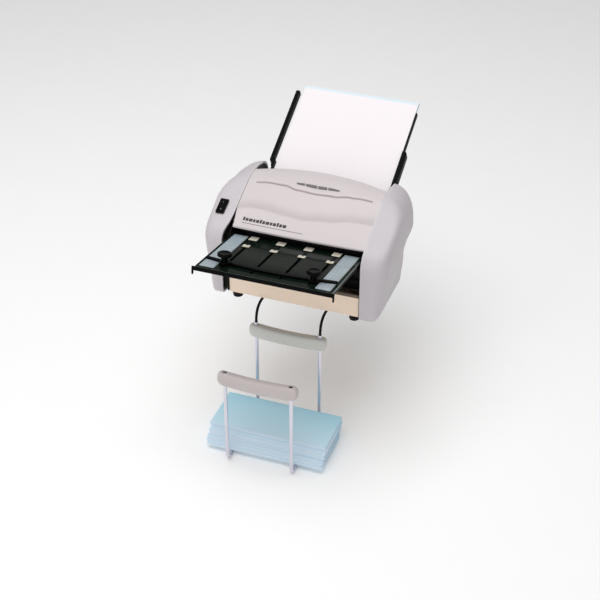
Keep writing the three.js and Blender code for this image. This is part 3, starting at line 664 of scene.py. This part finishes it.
# (x, y) knots of the crease, and of the groove's wave
CREASE = [(-119, -41), (-94, -36), (-64, -37), (-32, -41), (-2, -43), (41, -38), (82, -30), (119, -28)]
WAVE = [(-112, 11), (-83, 13), (-52, 11.5), (-28, 6), (5, 4), (38, 6), (66, 11), (90, 13), (112, 13)]
# offsets of the rows that shape the groove
FINE = (-6, -4.4, -3.2, -2.2, -1.4, -0.7, 0, 0.7, 1.4, 2.2, 3.2, 4.4, 6)


def on_slope(y):
    """The height of the hood's front slope at y."""
    return LIP_TOP[1] + (y - LIP_TOP[0]) * HOOD_RISE


def hood_outer():
    """The hood's outer side view, with close rows round the groove."""
    rise = outline(LIP_TOP, (11.5, 174.8), ((38, 183), (60, 180.4)), straight=34, bent=18)
    kept = [p for p in rise if abs(p[0] - GROOVE_Y) > 7]
    fine = [(GROOVE_Y + d, on_slope(GROOVE_Y + d)) for d in FINE]
    return sorted(kept + fine)


def hood_point(x, y, z, skin=True):
    """Shapes a point of the swept hood: crown, curved rear edge, narrower lip, crease and wave."""
    side = (x / HOOD_HALF) ** 2
    near_lip = 1 - smoothstep(y, -76, -36)
    depth = 0.0
    shift = 0.0
    if skin:
        off = abs(y - GROOVE_Y)
        shift = (through(WAVE, x) - GROOVE_Y) * (1 - smoothstep(off, 7, 26))
        ends = smoothstep(x, -112, -100) * (1 - smoothstep(x, 100, 112))
        depth = GROOVE_DEPTH * (1 - smoothstep(off, 0.5, 2.4)) * ends
        crease = through(CREASE, x)
        below = 1 - smoothstep(y, crease - 2.2, crease + 0.8)
        depth += CREASE_DEPTH * below * smoothstep(y, -77, -70)
    z += HOOD_CROWN * (1 - side) * smoothstep(y, -76, 40)
    y2 = y + shift - HOOD_SWEEP * side * smoothstep(y, 16, 66) - LIP_BOW * (1 - side) * near_lip
    z += shift * HOOD_RISE
    if x < 0:
        x *= 1 - (1 - LIP_LEFT / HOOD_HALF) * near_lip
    return x, y2 + depth * 0.39, z - depth * 0.92


def add_hood():
    """The hood: its section swept across the machine, shaped point by point, then printed on."""
    outer = hood_outer()
    lip = [(-71.5, 135.8), (-73.2, 133.2), (-74.6, 132.7), (-75.8, 133.4), (-76.0, 135.2), (-75.4, 136.9)]
    tail = [(62.8, 179.4), (65, 177.2), (65.9, 174.6), (65.4, 173), (63.6, 172.5), (62, 174.8)]
    under = outline((60, 176.9), ((38, 179.5), (12.5, 171.4)), (-69, 136.9), straight=14, bent=8)
    ring = [(p, False) for p in lip] + [(p, True) for p in outer] + [(p, False) for p in tail]
    ring += [(p, False) for p in under]
    first = len(lip) + [p[0] for p in outer].index(GROOVE_Y + FINE[4])
    dark = range(first, first + 4)
    columns = 112
    rings = []
    for i in range(columns + 1):
        x = -HOOD_HALF + 2 * HOOD_HALF * i / columns
        rings.append([hood_point(x, y, z, skin) for (y, z), skin in ring])
    shape = Shape()
    # The groove's own faces carry painted shade between the wave's two tips.
    shape.loft(rings, slots=lambda i: int(i in dark))
    for face in shape.bm.faces:
        if abs(face.calc_center_median().x) > 104:
            face.material_index = 0
    finish = [hood_grey, groove_shade]
    hood = shape.piece("hood", finish, "machine", ["hood_cover"], "shell_grey", angle=50)
    # The painted shade in the hollow just above the crease is held by this attribute.
    shade = hood.data.attributes.new("lip", "FLOAT", "POINT")
    for vertex, value in zip(hood.data.vertices, shade.data):
        x, y = vertex.co.x / MM, vertex.co.y / MM
        above = y - through(CREASE, x)
        value.value = smoothstep(above, -2, 0.4) * (1 - smoothstep(above, 1, 22)) ** 1.5
    add_hood_print()


def hood_strip(shape, x0, x1, low, high):
    """A printed band on the hood between two curves y = low(x) and y = high(x)."""
    count = max(2, round((x1 - x0) / 3))
    rings = []
    for i in range(count + 1):
        x = x0 + (x1 - x0) * i / count
        ring = []
        for y, lift in ((low(x), 0.22), (high(x), 0.22), (high(x), -0.1), (low(x), -0.1)):
            _, py, pz = hood_point(x, y, on_slope(y))
            ring.append((x, py, pz + lift))
        rings.append(ring)
    shape.loft(rings)


def add_hood_print():
    """Plain blocks, a line and a row of bars where the photographed machine has print."""
    marks = Shape()
    left = -101
    x0 = left
    for i in range(13):
        width = 3.4 + 0.7 * (i * 7 % 5)
        top = -55.6 if i % 5 == 0 else -57
        hood_strip(marks, x0, x0 + width, lambda x: -62, lambda x: top)
        x0 += width + 1.3
    hood_strip(marks, left, 8, lambda x: -66.6, lambda x: -66.0)
    marks.piece("hood_print_low", print_dark, "machine", slot="black_plastic")

    def bow(x):
        return 2.2 * (1 - ((x - 5) / 46) ** 2)

    lens = Shape()
    for x0, x1 in ((-33, -18), (-16, 4), (6, 22), (24, 44)):
        hood_strip(lens, x0, x1, lambda x: 20.2 - bow(x) * 0.4, lambda x: 20.8 + bow(x))
    lens.piece("hood_print_high", print_grey, "machine", slot="black_plastic")


# ---- Upper fold plate ----
PLATE = tilt(-56, 111, -math.radians(10.5))
PLATE_FRONT = -180
COVER_HALF = 116.1
EAR_HALF = 120.5
SLOT_X = (-73.5, -24.5, 24.5, 73.5)
STOP_AT = 142  # from the plate's rear edge to the stop bar
STOP_HALF = 112.4
KNOB_X = 76
KNOB_Y = -STOP_AT - 8
ARC_STEPS = 28


def add_upper_plate():
    """The smoked cover with its slots, the rim with two ears, two labels and the spring fingers."""
    cover = Shape(PLATE)
    outer = rounded(-COVER_HALF, COVER_HALF, PLATE_FRONT + 3.2, -6, 1.5, 3)
    rings = [[(a, b, h) for a, b in outer] for h in (1.2, 4)]
    cover.loft(rings, slots=lambda i: 1)
    finish = [acrylic, edge_acrylic]
    made = cover.piece("smoked_cover", finish, "upper_plate", ["clear_cover"], "smoked_acrylic")
    slots = Shape(PLATE)
    for x in SLOT_X:
        slots.prism("z", rounded(x - 2.4, x + 2.4, PLATE_FRONT + 15, -52, 2.2, 4), -3, 8)
    carve(made, slots)
    soften(made, 0.3, 50)

    rim = Shape(PLATE)
    front = PLATE_FRONT
    bar = [(front + 0.1, -2.6), (front + 2.8, -3), (front + 2.9, 4), (front + 0.4, 4)]
    rim.prism("x", bar, -EAR_HALF + 0.1, EAR_HALF - 0.1)
    side = [(-2.1, -3.1), (front + 2, -3.1), (front + 2, 0.9), (-2.1, 0.9)]
    fin = [(0.2, -2.5), (3.8, -2.5), (3.8, -7.9), (1.7, -10.3), (0.9, -10.3)]
    for sign in (-1, 1):
        lo, hi = sorted((sign * 112.5, sign * 116.4))
        rim.prism("x", side, lo, hi)
        lo, hi = sorted((sign * (EAR_HALF - 2.9), sign * (EAR_HALF - 0.1)))
        rim.prism("x", [(front + a, b) for a, b in fin], lo, hi)
    rim.piece("plate_edge", gloss_black, "upper_plate", ["plate_rim"], "black_steel", bevel=0.5)

    for side, sign in (("left", -1), ("right", 1)):
        label = Shape(PLATE)
        lo, hi = sorted((sign * 85.7, sign * 110.8))
        label.prism("z", rounded(lo, hi, front + 8.2, -18.2, 1.6, 4), 4.3, 4.65)
        label.piece(f"scale_{side}", film, "upper_plate", [f"scale_label_{side}"], "label")

    strip = Shape(PLATE)
    strip.prism("z", rounded(-89.8, 89.8, -15.8, -9.2, 1, 3), 4.5, 5.4)
    tabs = Shape(PLATE)
    for x in SLOT_X:
        neck = [(-7.2, -15), (-2, -33.6), (-2, -55.5), (2, -55.5), (2, -33.6), (7.2, -15)]
        strip.prism("z", [(x + a, b) for a, b in neck], 4.5, 5.2)
        tabs.prism("z", rounded(x - 7.4, x + 7.4, -33.5, -16.4, 1.2, 3), 4.8, 5.55)
        tip = [(-6.3, -65.6), (6.3, -65.6), (6.3, -56), (2.2, -55.2), (0, -58.6), (-2.2, -55.2), (-6.3, -56)]
        tabs.prism("z", [(x + a, b) for a, b in tip], 4.6, 5.4)
    strip.piece("spring_strip", black_paint, "upper_plate", slot="bright_steel", bevel=0.2)
    tabs.piece("spring_tabs", finger_cream, "upper_plate", ["finger_strip"], "bright_steel", bevel=0.25)


def crescent(end, rear, front):
    """The stop bar's plan: two arcs that meet at its swept-back ends."""
    def arc(bow, at):
        ways = [2 * i / ARC_STEPS - 1 for i in range(ARC_STEPS + 1)]
        return [(end * way, at - bow * (1 - way ** 2)) for way in ways]

    return arc(front, -STOP_AT) + arc(rear, -STOP_AT + 4.8)[::-1]


def add_stop():
    """The stop bar with a peg in each slot and a boss under each knob, and the two knobs."""
    bar = Shape(PLATE)
    plan = crescent(STOP_HALF, 7.2, 12.2)
    rings = []
    for height, shrink in ((5.3, 0.6), (5.9, 0), (7.9, 0), (8.9, 0.9)):
        ring = []
        for i, (a, b) in enumerate(plan):
            inwards = shrink if i <= ARC_STEPS else -shrink * 0.6
            ring.append((a * (1 - shrink / 112), b + inwards, height))
        rings.append(ring)
    bar.loft(rings)
    for x in SLOT_X:
        bar.prism("z", rounded(x - 1.5, x + 1.5, -STOP_AT - 8.8, -STOP_AT - 3.7, 1, 3), -0.7, 5.6)
    for x in (-KNOB_X, KNOB_X):
        bar.lathe("z", (x, KNOB_Y), [(8.8, 5.3), (8.8, 9.2), (8.2, 9.9)], 40)
    bar.piece("stop", gloss_black, "upper_plate_stop", ["stop_bar"], "black_plastic", bevel=0.25, angle=40)

    def knurl(angle, height):
        return 1 + (0.022 * math.cos(24 * angle) if 19.5 < height < 24.5 else 0)

    profile = [
        (5.6, 10.4), (5.9, 10.8), (5.6, 13), (5.2, 16), (5.6, 18), (8.5, 19), (10.8, 19.2), (11.6, 19.8),
        (11.7, 21), (11.7, 23), (11.5, 24.2), (10.6, 24.8), (8.6, 24.9), (7.8, 24.3), (3, 24.1), (0.5, 24.1),
    ]
    for side, x in (("left", -KNOB_X), ("right", KNOB_X)):
        knob = Shape(PLATE)
        knob.lathe("z", (x, KNOB_Y), profile, 96, knurl)
        name = f"knob_{side}"
        knob.piece(name, gloss_black, name, [f"clamp_{name}"], "black_plastic", angle=40)


# ---- Feeder ----
FEEDER = tilt(25, 112.3, math.radians(27.5))
SHEETS = 17
STACK_DEPTH = 7.0
SHEET_HALF = 107.9
SHEET_ROWS = 24  # steps along a sheet
SHEET_COLUMNS = 12  # steps across it


def add_paper():
    """The loaded sheets: two white ones in front, and bluish ones that reach a little higher behind."""
    chance = random.Random(11)
    pitch = STACK_DEPTH / SHEETS
    half = SHEET_HALF
    for name, wanted, finish in (
        ("front_sheets", (0, 1), white_sheet),
        ("back_sheets", range(2, SHEETS), blue_sheet),
    ):
        stack = Shape(FEEDER)
        for k in wanted:
            top = -k * pitch - 0.02
            low = 0.6 + 4 * k / SHEETS
            high = (273.4 if k < 2 else 278.5 + 4 * k / SHEETS) + chance.uniform(-0.3, 0.3)
            aside = chance.uniform(-0.35, 0.35) if k > 1 else 0
            rings = []
            for i in range(SHEET_ROWS + 1):
                y = low + (high - low) * i / SHEET_ROWS
                ring = []
                for lift in (0, -pitch * 0.8):
                    across = range(SHEET_COLUMNS + 1)
                    for j in across if lift == 0 else reversed(across):
                        x = -half + 2 * half * j / SHEET_COLUMNS
                        sag = 0.25 * math.sin(y / 41 + k) * (x / half) ** 2 if k == 0 else 0
                        ring.append((x * 0.996 + aside, y, top + lift + min(0, sag)))
                rings.append(ring)
            stack.loft(rings)
        stands = ["paper_stack"] if name == "front_sheets" else []
        slot = "white_paper" if stands else "blue_paper"
        stack.piece(name, finish, "machine", stands, slot, angle=30)


# ---- Stacker ----
WIRE_X = 58
WIRE_R = 3.4
ROD_R = 2.4
ROD_START = -22.4  # y at which the rods start, in their sockets
ROD_Z = 7.5
REAR = -116
FRONT = -258
FLOOR = -213
REAR_BAR_TOP = -25
FRONT_BAR_TOP = -28
BAR_H = 26
BAR_HALF = 69.8
BAR_HANG = 4.4  # how much lower a bar's middle is than its ends
BAR_STEPS = 40
BAR_SIDES = 32
BAR_SQUARENESS = 0.55  # 1 would make the section an ellipse
WIRE_TOP = REAR_BAR_TOP + 3


def at_side(x, points):
    """A route's (y, z) points at one x."""
    return [(x, y, z) for y, z in points]


def add_wires():
    """Two bent wires that carry the letters, and the black rods that hang them under the base."""
    down = outline(
        (REAR, WIRE_TOP - 0.4), (REAR, FLOOR + 13), ((REAR, FLOOR), (REAR - 13, FLOOR)), (FRONT + 13, FLOOR),
        ((FRONT, FLOOR), (FRONT, FLOOR + 13)), (FRONT, FRONT_BAR_TOP - 3.4), straight=8, bent=16,
    )
    hung = outline(
        (ROD_START, ROD_Z), (REAR + 27, ROD_Z), ((REAR + 2, ROD_Z), (REAR, -18.5)), (REAR, WIRE_TOP - 12.6),
        straight=6, bent=18,
    )
    for side, x in (("left", -WIRE_X), ("right", WIRE_X)):
        wire = Shape()
        wire.tube(at_side(x, down), WIRE_R - 0.05, 32)
        made = wire.piece(f"wire_{side}", chrome, "stacker", [f"stacker_wire_{side}"], "bright_steel")
        socket = Shape()
        socket.lathe("z", (x, REAR), [(2.8, WIRE_TOP - 14), (2.8, WIRE_TOP + 4)], 32)
        carve(made, socket)
        rod = Shape()
        rod.tube(at_side(x, hung), ROD_R - 0.03, 24, ends=3)
        rod.piece(f"rod_{side}", rod_black, "stacker", [f"hanger_rod_{side}"], "black_steel")


def add_cross_bar(name, y, top, node, finish):
    """A bar with a soft section whose middle hangs a little lower than its ends."""
    bar = Shape()
    rings = []
    for i in range(BAR_STEPS + 1):
        t = -1 + 2 * i / BAR_STEPS
        x = BAR_HALF * math.sin(t * math.pi / 2)
        hang = BAR_HANG * (1 - (x / BAR_HALF) ** 2)
        high = top - 0.2 - hang
        low = top - BAR_H + 0.2 - hang
        end = max(0, (abs(x) - WIRE_X) / (BAR_HALF - WIRE_X))
        squeeze = math.sqrt(max(0.0, 1 - end ** 2.6))
        middle = (high + low) / 2
        half_z = (high - low) / 2 * (0.35 + 0.65 * squeeze)
        half_y = 7.9 * (0.45 + 0.55 * squeeze)
        ring = []
        for k in range(BAR_SIDES):
            angle = 2 * math.pi * k / BAR_SIDES
            c, s = math.cos(angle), math.sin(angle)
            out = math.copysign(abs(c) ** BAR_SQUARENESS, c)
            up = math.copysign(abs(s) ** BAR_SQUARENESS, s)
            ring.append((x, y + half_y * out, middle + half_z * up))
        rings.append(ring)
    bar.loft(rings)
    made = bar.piece(name, finish, "stacker", [node], "stacker_grey", angle=50)
    holes = Shape()
    for x in (-WIRE_X, WIRE_X):
        holes.lathe("z", (x, y), [(4, top - 50), (4, top + 12)], 32)
    carve(made, holes)


def letter_section(back, floor, thickness, depth, chance):
    """A sheet folded in three, seen from its end: three layers joined by two round folds."""
    layer = thickness / 3
    half = layer * 0.36
    middles = [floor + layer * (k + 0.5) for k in range(3)]
    front = back - depth + chance.uniform(0.9, 3.6)
    bow = [chance.uniform(-0.04, 0.1) for _ in range(3)]

    def row(k, reverse):
        lo = front + (1.2 if k == 2 else layer / 2)
        hi = back - (1.5 if k == 0 else layer / 2)
        points = []
        for i in range(9):
            t = i / 8
            points.append((lo + (hi - lo) * t, middles[k] + bow[k] * math.sin(math.pi * t)))
        return points[::-1] if reverse else points

    def fold(y, z, outward):
        return [
            (y + outward * layer / 2 * math.cos(a), z + layer / 2 * math.sin(a))
            for a in [math.radians(v) for v in (-60, -30, 0, 30, 60)]
        ]

    line = row(0, True)
    line += fold(front + layer / 2, (middles[0] + middles[1]) / 2, -1)
    line += row(1, False)
    line += fold(back - layer / 2, (middles[1] + middles[2]) / 2, 1)
    line += row(2, True)
    left, right = [], []
    for i, point in enumerate(line):
        a, b = Vector(line[max(0, i - 1)]), Vector(line[min(len(line) - 1, i + 1)])
        way = (b - a).normalized()
        across = Vector((-way.y, way.x)) * half
        left.append(tuple(Vector(point) + across))
        right.append(tuple(Vector(point) - across))
    return left + right[::-1]


LETTERS = 12
LETTER_PITCH = 2.7
LETTER_DEPTH = 92.6
LETTER_HALF = 105.4
LETTER_STEP = 2  # each letter lies this much further back than the one below it


def add_letters():
    """The folded letters, each turned and shifted a little."""
    chance = random.Random(5)
    stack = Shape()
    floor = FLOOR + WIRE_R + 0.4
    for i in range(LETTERS):
        back = -127.9 - (LETTERS - 1 - i) * LETTER_STEP
        low = floor + i * LETTER_PITCH + 0.06
        section = letter_section(back, low, LETTER_PITCH - 0.3, LETTER_DEPTH, chance)
        aside = chance.uniform(-1.9, 1.9)
        turn = math.radians(chance.uniform(-0.45, 0.45))
        before = len(stack.bm.verts)
        stack.prism("x", section, -LETTER_HALF + aside, LETTER_HALF + aside)
        stack.bm.verts.ensure_lookup_table()
        middle = Vector((0, back - 46, 0))
        fresh = [stack.bm.verts[k] for k in range(before, len(stack.bm.verts))]
        bmesh.ops.rotate(stack.bm, cent=middle, matrix=Matrix.Rotation(turn, 3, "Z"), verts=fresh)
    stack.piece("letters", blue_letter, "letters", ["folded_letters"], "blue_paper", angle=40)


# ---- Small parts on the back and underneath ----
SCREW_R = 3.2


def add_screw(name, place):
    """A pan-head screw with a cross recess, facing +Z of its place."""
    head = Shape(place)
    shares = [(1, 0), (1, 0.5), (0.92, 1.1), (0.66, 1.6), (0.3, 1.8)]
    profile = [(SCREW_R * share, h) for share, h in shares] + [(0.3, 1.84)]
    head.lathe("z", (0, 0), profile, 32)
    made = head.piece(name, zinc, "machine", slot="bright_steel")
    long, half = SCREW_R * 0.55, 0.38
    quarter = [(long, -half), (long, half), (half, half)]
    turns = ((1, 0), (0, 1), (-1, 0), (0, -1))
    recess = [(a * c - b * s, a * s + b * c) for c, s in turns for a, b in quarter]
    cross = Shape(place)
    cross.prism("z", recess, 0.9, 3)
    carve(made, cross)


def add_screws():
    """Six screws on the rear cover and four under the base."""
    back = Matrix.Rotation(-math.pi / 2, 4, "X")
    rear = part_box("rear_cover")[1].y / MM
    for i, (x, z) in enumerate(((-108, 24), (108, 24), (-108, 112), (108, 112), (0, 24), (0, 112))):
        add_screw(f"rear_screw_{i}", Matrix.Translation((x, rear - 0.1, z)) @ back)
    under = Matrix.Rotation(math.pi, 4, "X")
    for i, (x, y) in enumerate(((-90, -60), (90, -60), (-90, 60), (90, 60))):
        add_screw(f"base_screw_{i}", Matrix.Translation((x, y, 12.1)) @ under)


# ---- CAD pieces that keep their shape ----
KEPT = {
    cream: ["base_pan"],
    black_paint: [
        "side_frame_left", "side_frame_right", "rear_tie_bar", "feed_ramp", "lower_stop", "drive_motor",
    ],
    plate_black: ["lower_sheet"],
    shell_grey: ["rear_cover"],
    black: [
        "power_inlet", "feed_tray", "paper_guide_left", "paper_guide_right",
        "stacker_socket_left", "stacker_socket_right",
    ],
    zinc: ["motor_pinion", "lower_fold_plate"],
    roller_rubber: [
        "infeed_roller", "upper_fold_roller", "lower_fold_roller", "outfeed_roller", "feed_roller",
    ],
    soft_rubber: [
        "foot_front_left", "foot_front_right", "foot_rear_left", "foot_rear_right", "separator_pad",
    ],
    gear_nylon: [
        "infeed_gear", "upper_fold_gear", "lower_fold_gear", "outfeed_gear", "feed_gear",
        "feed_idler_gear", "motor_idler_gear", "bearing_plate_left", "bearing_plate_right",
    ],
}
# edge widths by the start of a node's name, and for the rest
EDGE_WIDTHS = {
    "base_pan": 0.5, "paper_guide": 0.9, "foot": 0.8, "rear_cover": 0.5,
    "feed_tray": 0.5, "drive_motor": 0.8, "power_inlet": 0.4,
}
EDGE_WIDTH = 0.25


def finish_cad():
    """Gives the kept CAD nodes their materials and soft edges."""
    for material, names in KEPT.items():
        for name in names:
            for place in nodes[name].material_slots:
                place.material = material
            width = next((w for key, w in EDGE_WIDTHS.items() if name.startswith(key)), EDGE_WIDTH)
            soften(nodes[name], width, 40)


# ---- Stage ----
FLOOR_REACH = 6  # metres
FLOOR_LEVEL = -0.2175
WORLD_LIGHT = 0.36
LIT_POINT = Vector((0, -0.05, 0.05))
# name, place and size in metres, and power in watts
LAMPS = (
    ("overhead", (-0.15, -0.35, 2.7), 2.4, 52),
    ("key", (-1.7, -1.5, 1.9), 1.6, 4),
    ("front", (-0.3, -2.6, 0.55), 1.8, 11),
)


def add_stage():
    """A pale floor below the stacker, a white world and three soft lamps."""
    mesh = bpy.data.meshes.new("floor")
    signs = ((-1, -1), (1, -1), (1, 1), (-1, 1))
    corners = [(a * FLOOR_REACH, b * FLOOR_REACH, FLOOR_LEVEL) for a, b in signs]
    mesh.from_pydata(corners, [], [(0, 1, 2, 3)])
    mesh.materials.append(floor_material())
    ground = bpy.data.objects.new("floor", mesh)
    bpy.context.scene.collection.objects.link(ground)
    world = bpy.data.worlds.new("studio")
    bpy.context.scene.world = world
    world.use_nodes = True
    background = world.node_tree.nodes["Background"]
    background.inputs["Color"].default_value = (1, 1, 1, 1)
    background.inputs["Strength"].default_value = WORLD_LIGHT
    for name, place, size, power in LAMPS:
        data = bpy.data.lights.new(name, "AREA")
        data.size = size
        data.energy = power
        lamp = bpy.data.objects.new(name, data)
        lamp.location = place
        lamp.rotation_euler = (LIT_POINT - Vector(place)).to_track_quat("-Z", "Y").to_euler()
        bpy.context.scene.collection.objects.link(lamp)
    bpy.context.scene.view_settings.view_transform = "Standard"


finish_cad()
add_casings()
add_switch()
add_hood()
add_upper_plate()
add_stop()
add_paper()
add_wires()
add_cross_bar("rear_cross_bar", REAR, REAR_BAR_TOP, "stacker_bar_rear", stacker_grey)
add_cross_bar("front_cross_bar", FRONT, FRONT_BAR_TOP, "stacker_bar_front", stacker_rose)
add_letters()
add_screws()
add_stage()
